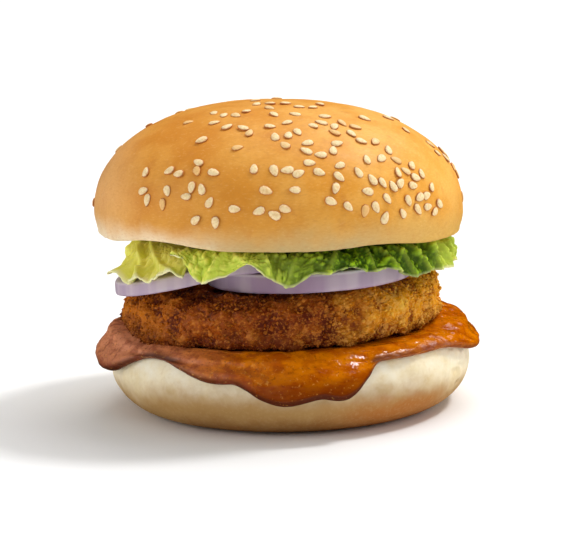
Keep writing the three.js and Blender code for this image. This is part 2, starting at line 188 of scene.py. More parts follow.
class Finish:
    """A material under way: a short way to add nodes and to join them."""

    def __init__(self, name, **shader):
        self.material = bpy.data.materials.new(name)
        self.material.use_nodes = True
        self.nodes = self.material.node_tree.nodes
        self.links = self.material.node_tree.links
        self.shader = self.nodes["Principled BSDF"]
        for socket, value in shader.items():
            self.shader.inputs[socket.replace("_", " ")].default_value = value
        coordinates = self.nodes.new("ShaderNodeTexCoord")
        self.mm = self.math_vector("SCALE", coordinates.outputs["Object"], scale=1 / MM)

    def give(self, socket, value):
        """Joins a socket to another, or sets its value."""
        if isinstance(value, bpy.types.NodeSocket):
            self.links.new(value, socket)
        else:
            socket.default_value = value

    def math_vector(self, operation, a, b=None, scale=None):
        node = self.nodes.new("ShaderNodeVectorMath")
        node.operation = operation
        self.give(node.inputs[0], a)
        if b is not None:
            self.give(node.inputs[1], b)
        if scale is not None:
            self.give(node.inputs["Scale"], scale)
        return node.outputs[0]

    def math(self, operation, a, b=0.0):
        node = self.nodes.new("ShaderNodeMath")
        node.operation = operation
        self.give(node.inputs[0], a)
        self.give(node.inputs[1], b)
        return node.outputs[0]

    def place(self):
        """The X, Y and Z of the object's own coordinates, in mm."""
        node = self.nodes.new("ShaderNodeSeparateXYZ")
        self.links.new(self.mm, node.inputs[0])
        return node.outputs[0], node.outputs[1], node.outputs[2]

    def attribute(self, name):
        node = self.nodes.new("ShaderNodeAttribute")
        node.attribute_name = name
        return node.outputs["Fac"]

    def noise(self, size, detail=2.0, roughness=0.5, stretch=(1, 1, 1)):
        """Noise from 0 to 1 with spots of about this size in mm."""
        node = self.nodes.new("ShaderNodeTexNoise")
        self.links.new(self.math_vector("MULTIPLY", self.mm, stretch), node.inputs["Vector"])
        node.inputs["Scale"].default_value = 1 / size
        node.inputs["Detail"].default_value = detail
        node.inputs["Roughness"].default_value = roughness
        return node.outputs["Fac"]

    def range(self, value, low, high, to_low=0.0, to_high=1.0):
        node = self.nodes.new("ShaderNodeMapRange")
        node.interpolation_type = "SMOOTHSTEP"
        for socket, given in zip(node.inputs, (value, low, high, to_low, to_high)):
            self.give(socket, given)
        return node.outputs[0]

    def mix(self, share, a, b):
        node = self.nodes.new("ShaderNodeMix")
        node.data_type = "RGBA"
        for socket, given in ((node.inputs[0], share), (node.inputs[6], a), (node.inputs[7], b)):
            self.give(socket, given)
        return node.outputs[2]

    def bump(self, height, distance, strength=1.0, under=None):
        """Relief from a height of 0 to 1, as deep as distance in mm."""
        node = self.nodes.new("ShaderNodeBump")
        node.inputs["Strength"].default_value = strength
        node.inputs["Distance"].default_value = distance * MM
        self.give(node.inputs["Height"], height)
        if under is not None:
            self.give(node.inputs["Normal"], under)
        return node.outputs[0]

    def end(self, colour, roughness=None, normal=None):
        self.give(self.shader.inputs["Base Color"], colour)
        if roughness is not None:
            self.give(self.shader.inputs["Roughness"], roughness)
        if normal is not None:
            self.give(self.shader.inputs["Normal"], normal)
        return self.material


def shade(red, green, blue):
    """A colour as it is named on a screen, 0 to 255, as the linear colour of a node."""
    def linear(level):
        level /= 255
        return level / 12.92 if level <= 0.04045 else ((level + 0.055) / 1.055) ** 2.4
    return (linear(red), linear(green), linear(blue), 1.0)


def crust_finish():
    """Baked crust: golden, browner in patches, and paler towards the cut edge; painted light makes the right
    and the far left lighter, and painted shade darkens the middle of the rim.
    """
    skin = Finish("golden_crust", Roughness=0.5, Specular_IOR_Level=0.16)
    x, _, z = skin.place()
    up = skin.math("ADD", z, skin.math("MULTIPLY", skin.noise(8, 3), 6.0))
    # Painted light: the right side is lighter and more golden, where the lamps fall.
    painted_light_right = skin.range(skin.math("ADD", x, skin.math("MULTIPLY", skin.noise(14, 2), 40.0)), -10, 56)
    deep = skin.mix(painted_light_right, shade(218, 140, 46), shade(240, 166, 60))
    light = skin.mix(painted_light_right, shade(230, 158, 64), shade(250, 186, 88))
    golden = skin.mix(skin.range(skin.noise(12, 3), 0.36, 0.64), deep, light)
    # Painted light: the far left of the dome is paler.
    aside = skin.mix(skin.range(x, -34, -50, 0, 0.6), golden, shade(244, 190, 128))
    upper = skin.mix(skin.range(up, 55, 66), skin.mix(0.5, aside, shade(224, 164, 68)), aside)
    # Painted shade: the rim is darker in the middle than at the left.
    soft = skin.mix(skin.range(x, -34, -8), shade(254, 236, 202), shade(204, 180, 126))
    rim = skin.mix(skin.range(x, 10, 46), soft, shade(232, 182, 88))
    pale = skin.mix(skin.range(up, 51.5, 61), rim, upper)
    spots = skin.range(skin.noise(4.5, 3), 0.6, 0.72, 0, 0.3)
    spotted = skin.mix(spots, pale, shade(210, 132, 54))
    grain = skin.noise(1.1, 4, 0.6, stretch=(1, 1, 2.4))
    streaked = skin.mix(skin.range(grain, 0.45, 0.75, 0.0, 0.32), spotted, shade(204, 132, 62))
    colour = skin.mix(skin.range(grain, 0.46, 0.25, 0.0, 0.22), streaked, shade(250, 214, 150))
    relief = skin.bump(skin.noise(0.8, 3), 0.06, 0.5)
    return skin.end(colour, skin.range(skin.noise(3), 0.3, 0.7, 0.42, 0.56), relief)


def seed_finish():
    """Sesame: cream, some toasted, each darker round its lower rim, partly a browner edge and partly painted
    contact shade.
    """
    seed = Finish("sesame", Roughness=0.5, Specular_IOR_Level=0.25)
    toasted = seed.range(seed.attribute("tone"), 0.5, 1)
    body = seed.mix(toasted, shade(255, 230, 178), shade(246, 196, 124))
    mottled = seed.mix(seed.range(seed.noise(0.6, 2), 0.42, 0.66, 0, 0.5), body, shade(234, 184, 116))
    # Painted shade in part: the darker lower rim stands in for the shade where each seed meets the crust.
    rim = seed.mix(seed.range(seed.attribute("rim"), 0.12, 0.8, 0, 0.9), mottled, shade(186, 104, 34))
    return seed.end(rim, normal=seed.bump(seed.noise(0.5, 2), 0.12))


def bread_finish():
    """Steamed and floury side of the bun base, browner low down and on the right, with painted shade that
    darkens and browns its lower front.
    """
    bread = Finish("pale_bread", Roughness=0.75, Specular_IOR_Level=0.15)
    x, y, z = bread.place()
    low = bread.math("SUBTRACT", z, bread.math("MULTIPLY", bread.noise(6, 3), 7.0))
    cream = bread.mix(bread.range(bread.noise(9, 2), 0.35, 0.65), shade(250, 234, 196), shade(240, 220, 172))
    # Painted shade: the front is darkened and browned as if it stood lower, on top of the real browning low
    # down.
    ahead = bread.range(y, -24, -44)
    low_and_front_shade = bread.math("ADD", low, bread.math("MULTIPLY", ahead, -5.0))
    warm_and_shaded = bread.mix(bread.range(low_and_front_shade, 10, 0), cream, shade(182, 142, 86))
    baked_and_shaded = bread.mix(bread.range(low_and_front_shade, -1, -7), warm_and_shaded, shade(158, 108, 56))
    front_right = bread.math("MULTIPLY", bread.range(x, 4, 24), bread.range(x, 48, 34))
    side = bread.math("MULTIPLY", bread.range(y, -10, -26), bread.range(low, 8, 2))
    patch = bread.math("MULTIPLY", bread.math("MULTIPLY", front_right, side), 0.85)
    browned = bread.mix(patch, baked_and_shaded, shade(180, 112, 50))
    fine = bread.range(bread.noise(0.9, 3), 0.45, 0.75, 0, 0.2)
    speckled = bread.mix(fine, browned, shade(204, 172, 118))
    flour = bread.math("MULTIPLY", bread.range(bread.noise(5, 4, 0.6), 0.15, 0.8), bread.range(z, 7, 18))
    colour = bread.mix(bread.math("MULTIPLY", flour, 0.85), speckled, shade(255, 248, 228))
    fine_relief = bread.bump(bread.noise(0.6, 3), 0.08, 0.6)
    return bread.end(colour, normal=bread.bump(bread.noise(2.2, 3), 0.22, 0.5, fine_relief))


def crumb_finish(name, lift=0.0):
    """Fried crumb: darker low down, with painted shade in its hollows and painted light on its tops; painted
    light also makes the left and the right lighter, the right partly a more golden fry too, and painted shade
    darkens the middle.
    """
    crumb = Finish(name, Roughness=0.5, Specular_IOR_Level=0.14)
    crest = crumb.math("ADD", crumb.attribute("crest"), lift)
    x, _, z = crumb.place()
    across = crumb.math("ADD", x, crumb.math("MULTIPLY", crumb.noise(8, 3), 46.0))
    # Painted light in part: the right is lighter, as well as a more golden fry.
    gold_and_light = crumb.range(across, 22, 60)
    # Painted light: the left is a lighter orange.
    left = crumb.range(x, -24, -42)
    brown = crumb.mix(gold_and_light, shade(162, 76, 10), shade(230, 150, 16))
    toasted = crumb.mix(crumb.math("MULTIPLY", left, 0.9), brown, shade(206, 116, 20))
    deep = crumb.mix(gold_and_light, shade(98, 32, 4), shade(162, 80, 8))
    # Painted shade darkens the crumb's hollows, and painted light makes its tops paler.
    shaded_pits = crumb.mix(crumb.range(crest, 0.05, 0.42), deep, toasted)
    pale = crumb.mix(gold_and_light, shade(214, 128, 40), shade(255, 204, 78))
    lit_crests = crumb.mix(crumb.range(crest, 0.45, 1.0), shaded_pits, pale)
    scorched = crumb.range(crumb.noise(6, 3, 0.6), 0.52, 0.66, 0, 0.7)
    away = crumb.math("MULTIPLY", scorched, crumb.range(x, 14, -2, 0.4, 1.0))
    # Painted shade: the middle of the front is darker.
    middle = crumb.math("MULTIPLY", crumb.range(x, -24, -10), crumb.range(x, 18, 4, 0, 0.3))
    patched = crumb.mix(crumb.math("MAXIMUM", away, middle), lit_crests, shade(104, 34, 8))
    low = crumb.range(crumb.math("ADD", z, crumb.math("MULTIPLY", crumb.noise(4, 2), 7.0)), 33, 26, 0, 0.8)
    lowered = crumb.mix(low, patched, shade(74, 18, 6))
    light = crumb.mix(gold_and_light, shade(206, 124, 44), shade(244, 184, 84))
    flecks = crumb.math("MULTIPLY", crumb.range(crumb.noise(1.8, 3, 0.6), 0.5, 0.62, 0, 0.6),
                        crumb.range(crumb.noise(7, 2), 0.36, 0.5))
    flecked = crumb.mix(crumb.math("MULTIPLY", flecks, crumb.range(x, -4, 8)), lowered, light)
    speckle = crumb.range(crumb.noise(0.8, 3, 0.7), 0.52, 0.66, 0, 0.65)
    colour = crumb.mix(speckle, flecked, light)
    relief = crumb.bump(crumb.noise(0.7, 3, 0.6), 0.3, 0.9)
    rough = crumb.range(crumb.noise(2.5, 2), 0.35, 0.65, 0.24, 0.6)
    return crumb.end(colour, rough, relief)


def sauce_finish():
    """Thick orange-brown sauce: wet on the right, dull and mottled on the left under a painted pinkish sheen,
    darker low down partly as painted shade, and darkest along its lower edge as painted shade.
    """
    sauce = Finish("spiced_sauce", Specular_IOR_Level=0.3)
    x, _, z = sauce.place()
    flow = sauce.noise(5, 3, 0.55, stretch=(1, 1, 2.0))
    tint = sauce.mix(sauce.range(flow, 0.35, 0.65), shade(224, 124, 0), shade(182, 84, 0))
    # Painted sheen: the left is pinkish, like the soft reflection of a lamp.
    left = sauce.mix(sauce.range(x, -10, -44, 0, 0.8), tint, shade(220, 144, 106))
    # Darker low down: partly a deeper colour, partly painted shade.
    low = sauce.range(z, 19.5, 13, 0, 0.88)
    low_darker_and_shaded = sauce.mix(low, left, shade(122, 46, 0))
    # Painted shade: the rounded lower edge is darkened where it meets the bread.
    shaded_hem = sauce.math("MULTIPLY", sauce.attribute("shaded_hem"), sauce.range(x, 16, 38, 0.85, 0.4))
    painted_hem_shade = sauce.mix(shaded_hem, low_darker_and_shaded, shade(84, 28, 0))
    mottles = sauce.range(sauce.noise(2.8, 4, 0.6, stretch=(1, 1, 0.7)), 0.48, 0.6)
    streaks = sauce.math("MULTIPLY", mottles, sauce.range(x, 2, -16, 0, 0.5))
    mottled = sauce.mix(streaks, painted_hem_shade, shade(138, 56, 30))
    bits = sauce.range(sauce.noise(0.8, 3), 0.58, 0.7, 0, 0.5)
    darker = sauce.mix(bits, mottled, shade(116, 42, 6))
    light_bits = sauce.range(sauce.noise(1.0, 3), 0.6, 0.74, 0, 0.4)
    colour = sauce.mix(light_bits, darker, shade(246, 176, 84))
    fine = sauce.bump(sauce.noise(1.2, 2, stretch=(1, 1, 1.6)), 0.16, 0.8)
    relief = sauce.bump(sauce.noise(2.6, 2, stretch=(1, 1, 1.5)), 0.5, 0.8, fine)
    wet = sauce.range(sauce.math("ADD", x, sauce.math("MULTIPLY", sauce.noise(3), 16.0)), -14, 16, 0.42, 0.1)
    dull = sauce.math("MAXIMUM", wet, sauce.math("MULTIPLY", sauce.attribute("shaded_hem"), 0.5))
    return sauce.end(colour, dull, relief)


def onion_finish():
    """Red onion: pale lilac, with soft broad bands round the rim, a painted highlight along the top cut edge
    and painted shade on the front of the lower slice's rim.
    """
    onion = Finish("red_onion_flesh", Roughness=0.4, Specular_IOR_Level=0.3,
                   Subsurface_Weight=0.2, Subsurface_Radius=(1, 0.7, 0.8), Subsurface_Scale=0.002)
    bands = onion.noise(4.5, 2, stretch=(1, 1, 0.15))
    flesh = onion.mix(onion.range(bands, 0.35, 0.68), shade(204, 187, 198), shade(184, 162, 184))
    streaks = onion.range(onion.noise(2.4, 3, stretch=(1, 1, 0.3)), 0.5, 0.8, 0, 0.1)
    streaked = onion.mix(streaks, flesh, shade(176, 146, 178))
    # Painted highlight: the top edge of the rim is lighter.
    lit = onion.mix(onion.attribute("edge"), streaked, shade(246, 238, 236))
    # Painted shade in part: the front of the lower slice's rim is darkened with the purple skin colour.
    colour = onion.mix(onion.attribute("skin"), lit, shade(150, 108, 144))
    relief = onion.bump(onion.noise(3, 2, stretch=(1, 1, 0.3)), 0.06, 0.4)
    return onion.end(colour, normal=relief)


def leaf_finish(name, deep, fresh, young, margin):
    """A lettuce leaf, paler where young: painted shade makes it deep green in its creases, and painted light
    makes it fresher on its blisters and paler along its fold ridges.
    """
    leaf = Finish(name, Roughness=0.38, Specular_IOR_Level=0.18, Subsurface_Weight=0.15,
                  Subsurface_Radius=(0.6, 1, 0.2), Subsurface_Scale=0.0015)
    # Painted light and shade: the blisters are lighter and the creases darker.
    painted_light_on_blisters = leaf.range(leaf.attribute("puffed"), 0.1, 0.8)
    green = leaf.mix(painted_light_on_blisters, deep, fresh)
    pale = leaf.mix(painted_light_on_blisters, leaf.mix(0.45, fresh, young), young)
    patches = leaf.range(leaf.noise(5, 3), 0.4, 0.66, 0, 0.4)
    patched = leaf.mix(patches, green, deep)
    aged = leaf.mix(leaf.attribute("youth"), patched, pale)
    # Painted highlight, in part a pale vein: the fold ridges are paler.
    lit_ridges = leaf.mix(leaf.math("MULTIPLY", leaf.attribute("ridge"), 0.25), aged, pale)
    veins = leaf.range(leaf.noise(1.0, 3), 0.54, 0.7, 0, 0.3)
    veined = leaf.mix(veins, lit_ridges, fresh)
    colour = leaf.mix(leaf.attribute("margin"), veined, margin)
    return leaf.end(colour, normal=leaf.bump(leaf.noise(0.9, 3), 0.16, 0.7))


# ---- Bun base ----

def base_uneven(degrees):
    a = math.radians(degrees)
    return 0.012 * math.cos(a) + 0.006 * math.cos(2 * a + 0.6) + 0.005 * math.cos(3 * a + 2.1)


def bread_side(degrees, z):
    """How far the side of the base is from its axis at a height above its foot."""
    wide = 1 + base_uneven(degrees)
    widest_at = BUN_BASE["widest_at"]
    if z > widest_at:
        up = min((z - widest_at) / (BUN_BASE["height"] - widest_at), 1)
        return lerp(BUN_BASE["radius"], BUN_BASE["cut"], 1 - math.sqrt(1 - up * up)) * wide
    down = 1 - z / widest_at
    return lerp(BUN_BASE["seat"], BUN_BASE["radius"], math.sqrt(1 - down * down)) * wide


def bun_base():
    height, widest_at = BUN_BASE["height"], BUN_BASE["widest_at"]
    foot_share, widest_share, rim_share = 0.08, 0.5, 0.92

    def place(degrees, share):
        if share <= foot_share:
            return around_axis(degrees, bread_side(degrees, 0) * share / foot_share, 0)
        if share <= widest_share:
            turn = (share - foot_share) / (widest_share - foot_share) * math.pi / 2
            z = widest_at * (1 - math.cos(turn))
        elif share <= rim_share:
            turn = (share - widest_share) / (rim_share - widest_share) * math.pi / 2
            z = lerp(widest_at, height, math.sin(turn))
        else:
            r = bread_side(degrees, height) * (1 - share) / (1 - rim_share)
            return around_axis(degrees, r, height)
        point = around_axis(degrees, bread_side(degrees, z), z)
        soft = smooth(z, 0, 2) * (1 - smooth(z, 18, height))
        relief = 0.35 * lumps(point, 13) + 0.12 * lumps(point, 4) + 0.04 * lumps(point, 1.4)
        upright = (point.x * 1.6, point.y * 1.6, z * 0.35)
        wrinkled = lobe(degrees, 345, 34) + 0.35 * lobe(degrees, 160, 50)
        creases = -0.9 * smooth(abs(lumps(upright, 4.2, 5)), 0.1, 0) * wrinkled
        pull = 1 + soft * (relief + creases) / point.to_2d().length
        return Vector((point.x * pull, point.y * pull, z))

    bread = turned_skin(place, fine=9, along=110)
    return piece("base_bread", bread, Matrix.Identity(4), bread_finish(), "pale_crumb", "bun_base")


# ---- Patty ----

def patty_place(relief):
    """The patty's skin, with relief(point) in mm added outwards."""
    radius, thickness = PATTY["radius"], PATTY["thickness"]
    seat_share, foot_share, side_share, edge_share = 0.06, 0.25, 0.4, 0.72

    def place(degrees, share):
        a = math.radians(degrees)
        pressed = 1 + 0.6 * lobe(degrees, 183, 80)
        edge, shoulder = PATTY["edge"] * pressed, PATTY["shoulder"] * pressed
        wide = radius * (1 + 0.006 * math.cos(2 * a + 1) + 0.006 * math.cos(5 * a))
        flat = wide - shoulder
        foot = PATTY["foot"]
        if share <= seat_share:
            r, z, out, up = (wide - foot) * share / seat_share, 0, 0, -1
        elif share <= foot_share:
            turn = (share - seat_share) / (foot_share - seat_share) * math.pi / 2
            out, up = math.sin(turn), -math.cos(turn)
            r, z = wide - foot + foot * out, foot + foot * up
        elif share <= side_share:
            risen = (share - foot_share) / (side_share - foot_share)
            r, z, out, up = wide, lerp(foot, thickness - edge, risen), 1, 0
        elif share <= edge_share:
            turn = (share - side_share) / (edge_share - side_share) * math.pi / 2
            out, up = math.cos(turn), math.sin(turn)
            r, z = wide - shoulder * (1 - out), thickness - edge * (1 - up)
        else:
            r, z, out, up = flat * (1 - share) / (1 - edge_share), thickness, 0, 1
        point = around_axis(degrees, r, z)
        rise = relief(point) * smooth(r, 0, flat)
        return point + around_axis(degrees, out * rise, up * rise)

    return place


# Lumps and hollows of the coat at the front: direction, height above the foot, reach, rise in mm.
LUMPS = [
    (260.5, 4.8, 3.2, 1.5), (233.5, 3.2, 2.4, 1.2), (213, 9, 4.4, 0.9), (240, 2.4, 4.2, -1),
    (286, 9.5, 4.4, -0.6), (301, 6, 4, 0.8), (318, 9, 4.5, 0.7), (272, 8, 3.5, -0.6), (247, 8, 3, 0.6),
]


def lump(point):
    """The rise of the coat's largest lumps and hollows at a point, in mm."""
    rise = 0
    for degrees, z, reach, height in LUMPS:
        gap = (point - around_axis(degrees, PATTY["radius"], z)).length / reach
        rise += height * (1 - smooth(gap, 0, 1))
    return rise


def crags(point):
    """Clumps of crumb with smaller crumbs on them, from 0 to 1."""
    clumps = grains(point, 5.6, seed=3, crease=0.9, ragged=0.5)
    coarse = grains(point, 2.1, seed=0, crease=0.7, ragged=0.6)
    fine = grains(point, 1.1, seed=7, crease=0.6, ragged=0.5)
    return 0.34 * clumps + 0.36 * coarse * (0.5 + 0.5 * clumps) + 0.3 * fine


def crumb_relief(point):
    broad = 0.9 * lumps(point, 11) + 1.1 * lumps(point, 5) + 0.4 * lumps(point, 2.4)
    return broad + lump(point) + 1.4 * crags(point) - 0.7


def patty():
    crumb = turned_skin(patty_place(crumb_relief), fine=14, along=118)
    crest = float_layer(crumb, "crest")
    for vert in crumb.verts:
        tone = 0.1 + crags(vert.co) + 0.5 * lumps(vert.co, 5) + 0.35 * lump(vert.co)
        vert[crest] = min(max(tone, 0), 1)
    return piece("patty_crumb", crumb, FILLING, crumb_finish("fried_crumb_coat"), "fried_crumb", "patty")


def loose_crumbs():
    """Coarse crumbs that stand out of the patty's coat: small knocked balls, squeezed and turned."""
    rng = random.Random(4)
    place = patty_place(crumb_relief)
    crumbs = bmesh.new()
    bmesh.ops.create_icosphere(crumbs, subdivisions=1, radius=1)
    crest = float_layer(crumbs, "crest")
    for verts in copies(crumbs, CRUMBS["count"]):
        spot = place(rng.uniform(0, 360), rng.uniform(CRUMBS["lowest"], CRUMBS["highest"]))
        size = rng.uniform(CRUMBS["least"], CRUMBS["most"]) ** 2
        turn = Quaternion((rng.gauss(0, 1), rng.gauss(0, 1), rng.gauss(0, 1)), rng.uniform(0, TURN))
        squeeze = Matrix.Diagonal((size, size * rng.uniform(0.5, 0.9), size * rng.uniform(0.4, 0.8)))
        shape = turn.to_matrix() @ squeeze
        tone = rng.uniform(0.25, 0.75)
        for vert in verts:
            knock = Vector((rng.uniform(-1, 1), rng.uniform(-1, 1), rng.uniform(-1, 1)))
            vert.co = spot + shape @ (vert.co + knock * CRUMBS["knocked"])
            vert[crest] = tone
    return piece("loose_crumbs", crumbs, FILLING, crumb_finish("toasted_crumbs", 0.1), "fried_crumb", "patty")


# ---- Sauce ----

DRIPS = [
    (198, 26, 6.5), (249, 24, 4.3), (266, 14, 7.6), (280, 18, 8), (289, 10, 3.4), (348, 26, 3.6),
    (26, 22, 5), (68, 20, 2.5), (106, 17, 6.5), (147, 24, 4.5),
]
BULGES = [(190, 28, 2.8), (352, 34, 1.6), (268, 22, 0.5), (100, 30, 1.2)]
MOUNDS = [(12, 46, 2.6), (182, 34, 2.4), (95, 30, 1)]


def drip_foot(degrees):
    """How low the sauce hangs at a direction."""
    return BUN_BASE["height"] - SAUCE["least"] - total(DRIPS, degrees)


def sauce_section(degrees):
    """The half section of the pool, from under the patty round the outside to the patty's foot."""
    height, fit = BUN_BASE["height"], SAUCE["fit"]
    foot = drip_foot(degrees)
    inner = []
    for share in (0, 0.06, 0.2, 0.44, 0.72, 1):
        z = lerp(height, foot, share)
        inner.append((bread_side(degrees, z) + fit + 0.25 * share, z + fit * (1 - share)))
    past = SAUCE["over"] + total(BULGES, degrees)
    hang = height - foot
    top = height + fit + SAUCE["film"]
    mound = total(MOUNDS, degrees)

    def side(share):
        return bread_side(degrees, lerp(foot, height, share)) + fit

    outer = [
        (side(0) + 0.45 * past, foot - 0.3),
        (side(0.1) + 0.9 * past, foot + 0.12 * hang + 0.3),
        (side(0.5) + past, foot + 0.55 * hang),
        (side(1) + past + 0.6, height - 0.9 + 0.4 * mound),
        (side(1) + past - 0.3, height + 0.3 + 0.8 * mound),
        (side(1) + past - 1.9, top + mound),
        (side(1) - 1.5, top + 0.7 + mound),
        (PATTY["radius"] - 1, top + 0.9 + 1.1 * mound),
        (PATTY["radius"] - 3.5, top + 1 + 1.1 * mound),
    ]
    return [*inner, *outer]


def on_curve(points, share):
    """A point on a soft curve through the points of a section."""
    reach = share * (len(points) - 1)
    i = min(int(reach), len(points) - 2)
    t = reach - i
    a, b, c, d = (points[min(max(k, 0), len(points) - 1)] for k in (i - 1, i, i + 1, i + 2))
    return tuple(
        0.5 * (2 * b[k] + (c[k] - a[k]) * t + (2 * a[k] - 5 * b[k] + 4 * c[k] - d[k]) * t * t
               + (3 * b[k] - a[k] - 3 * c[k] + d[k]) * t ** 3)
        for k in (0, 1)
    )


def sauce():
    under_patty = FILLING.inverted()
    sections = {}
    floor_share, foot_share = 0.03, 0.96

    def place(degrees, share):
        key = round(degrees * 8)
        if key not in sections:
            sections[key] = sauce_section(degrees)
        if share < floor_share:
            r, z = sections[key][0]
            return around_axis(degrees, r * share / floor_share, z)
        curve = min((share - floor_share) / (foot_share - floor_share), 1)
        r, z = on_curve(sections[key], curve)
        if share > foot_share:
            r *= (1 - share) / (1 - foot_share)
        point = around_axis(degrees, r, z)
        wet = smooth(curve, 0.36, 0.46) * (1 - smooth(curve, 0.9, 1))
        flow = (point.x, point.y, 2 * point.z)
        relief = 0.45 * lumps(flow, 8, 2) + 0.34 * lumps(flow, 3.6, 4) + 0.12 * lumps(flow, 1.5, 6)
        slope = min(max((curve - 0.5) / 0.3, 0), 1) * math.pi / 2
        point += around_axis(degrees, math.cos(slope), math.sin(slope)) * wet * relief
        local = under_patty @ point
        if curve > 0.8 and local.to_2d().length < PATTY["radius"] - PATTY["foot"] + 0.6:
            point.z -= max(local.z - 0.2, 0)
        return point

    pool = turned_skin(place, fine=11, along=104)
    shaded_hem = float_layer(pool, "shaded_hem")
    for vert in pool.verts:
        side = vert.co.to_2d().length
        degrees = math.degrees(math.atan2(vert.co.y, vert.co.x)) % 360
        foot = drip_foot(degrees)
        # This share marks the sauce's lower edge, which the finish darkens as painted shade.
        vert[shaded_hem] = (1 - smooth(vert.co.z - foot, 0.4, 2.2)) * smooth(side, 44, 46)
    return piece("sauce_pool", pool, Matrix.Identity(4), sauce_finish(), "orange_sauce", "sauce")


# ---- Onion ----

def onion_section(radius, half, share):
    """Half section of a slice: its distance from the axis and its height above its middle."""
    rim_half = 0.1
    flat = radius - ONION["edge"]
    if 0.5 - rim_half < share < 0.5 + rim_half:
        turn = (share - 0.5) / rim_half * math.pi / 2
        corner = abs(math.sin(turn)) ** 0.45 * math.copysign(1, turn)
        return flat + ONION["edge"] * math.cos(turn) ** 0.45, half * corner
    top = share > 0.5
    r = flat * ((1 - share) if top else share) / (0.5 - rim_half)
    ring = (flat - r) / ONION["ring_width"] % 1
    groove = ONION["groove"] * smooth(abs(ring - 0.5), 0.4, 0.5) * smooth(r, 0, 6)
    z = half - groove * smooth(flat - r, 0.6, 1.4) - 0.12 * (1 - smooth(abs(ring - 0.5), 0, 0.45))
    return r, (z if top else -z)


def onion(name, sizes, rest, bend, node):
    """A slice that lies in the filling: rest is its middle height above the patty's foot."""
    radius, half, stretch = sizes["radius"], sizes["thickness"] / 2, sizes["stretch"]

    def place(degrees, share):
        r, z = onion_section(radius, half, share)
        wide = 1 + stretch * math.cos(math.radians(2 * degrees))
        point = around_axis(degrees, r * wide, z)
        point.z += bend(point.x, point.y) + 0.12 * lumps(point, 9, rest)
        return point

    slice_ = turned_skin(place, fine=5, along=110)
    edge, skin = float_layer(slice_, "edge"), float_layer(slice_, "skin")
    for vert in slice_.verts:
        level = (vert.co.z - bend(vert.co.x, vert.co.y)) / half
        out = vert.co.to_2d().length / radius
        rim = smooth(out, 0.93, 0.97)
        # The edge share is where the top edge gets its painted highlight.
        vert[edge] = sizes["rim"] * rim * smooth(level, 0.6, 0.85)
        ring = (1 - out) * radius / ONION["ring_width"] % 1
        inside = (1 - rim) * smooth(abs(ring - 0.5), 0.38, 0.48) * 0.5
        # Painted shade: the front of the rim is darkened, as strongly as the slice's front shade size says.
        shaded_front = rim * sizes["front_shade"] * lobe(math.degrees(math.atan2(vert.co.y, vert.co.x)), -105, 40)
        vert[skin] = max(inside, shaded_front, 0.35 * rim * smooth(level, -0.7, -0.95))
    laid = FILLING @ Matrix.Translation((sizes["x"], sizes["y"], rest))
    return piece(name, slice_, laid, onion_finish(), "red_onion", node)


def onions():
    lower, upper = ONION_LOWER["thickness"], ONION_UPPER["thickness"]
    rest = PATTY["thickness"] + SAUCE["fit"] + lower / 2

    def drape(x, y):
        aside, ahead = ONION_UPPER["x"] - ONION_LOWER["x"], ONION_UPPER["y"] - ONION_LOWER["y"]
        from_lower = math.hypot(x + aside, y + ahead)
        past = max(0, from_lower - ONION_LOWER["radius"] - DRAPE["clear"])
        return -DRAPE["slope"] * past * past / (past + 2)

    onion("onion_slice_lower", ONION_LOWER, rest, lambda x, y: 0, "onion_lower")
    above = rest + (lower + upper) / 2 + SAUCE["fit"]
    onion("onion_slice_upper", ONION_UPPER, above, drape, "onion_upper")


# ---- Lettuce ----

# hang and flare are stops of (direction, mm): how deep the margin hangs and how far it spreads.
# crinkle and youth are stops of (direction, share): how blistered and how pale the leaf is; youth is partly
# painted light, high on the front lobe, and partly painted shade, low where a lobe's side lies in shade.
# folds are (direction on top, direction at the margin, half width in degrees, height in mm).
RIGHT_LEAF = dict(
    margin=(235.5, 464), inside=(237, 464), level=-0.4, sag=0.4, edge=50,
    flare=[(235.5, 0), (464, 0)],
    hang=[
        (235.5, 1), (238.5, 1.6), (242.5, 6.6), (248.5, 8.8), (254, 6.2), (259.5, 2.9), (267, 6.4),
        (275.5, 9), (282.5, 5.1), (292, 4.5), (305, 5.6), (319, 8.5), (326.5, 6.9), (336, 8.4),
        (348, 5.2), (361, 8.6), (373, 6), (386, 8.4), (398, 6.2), (411, 8.6), (423, 6.4), (436, 9),
        (448, 6.8), (457, 8.2), (464, 5),
    ],
    crinkle=[(235.5, 0.9), (251, 1), (262, 1), (464, 1)],
    youth=[
        (235.5, 0.9), (250, 1), (259, 1), (267, 0.45), (276, 0.25), (292, 0.05), (326, 0.1), (338, 0.65),
        (352, 0.5), (380, 0.1), (464, 0.3),
    ],
    folds=[
        (252.5, 251, 3.4, 1.7), (262, 268, 4, 0.8), (277, 274, 4, 0.9), (289, 284, 4, 1),
        (297, 302, 3, 1.2), (303, 309, 3, 1.2), (309, 315.5, 3, 1.3), (315, 322, 3, 1.2),
        (325, 331, 3.4, 1.3), (335, 339, 3.4, 1.2), (347, 344, 4, 1.2), (358, 361, 4, 1.3),
        (371, 367, 4, 1.2), (384, 387, 4, 1.3), (397, 393, 4, 1.1), (410, 412, 4, 1.3),
        (424, 420, 4, 1.1), (437, 440, 4, 1.3), (450, 447, 4, 1.1),
    ],
)
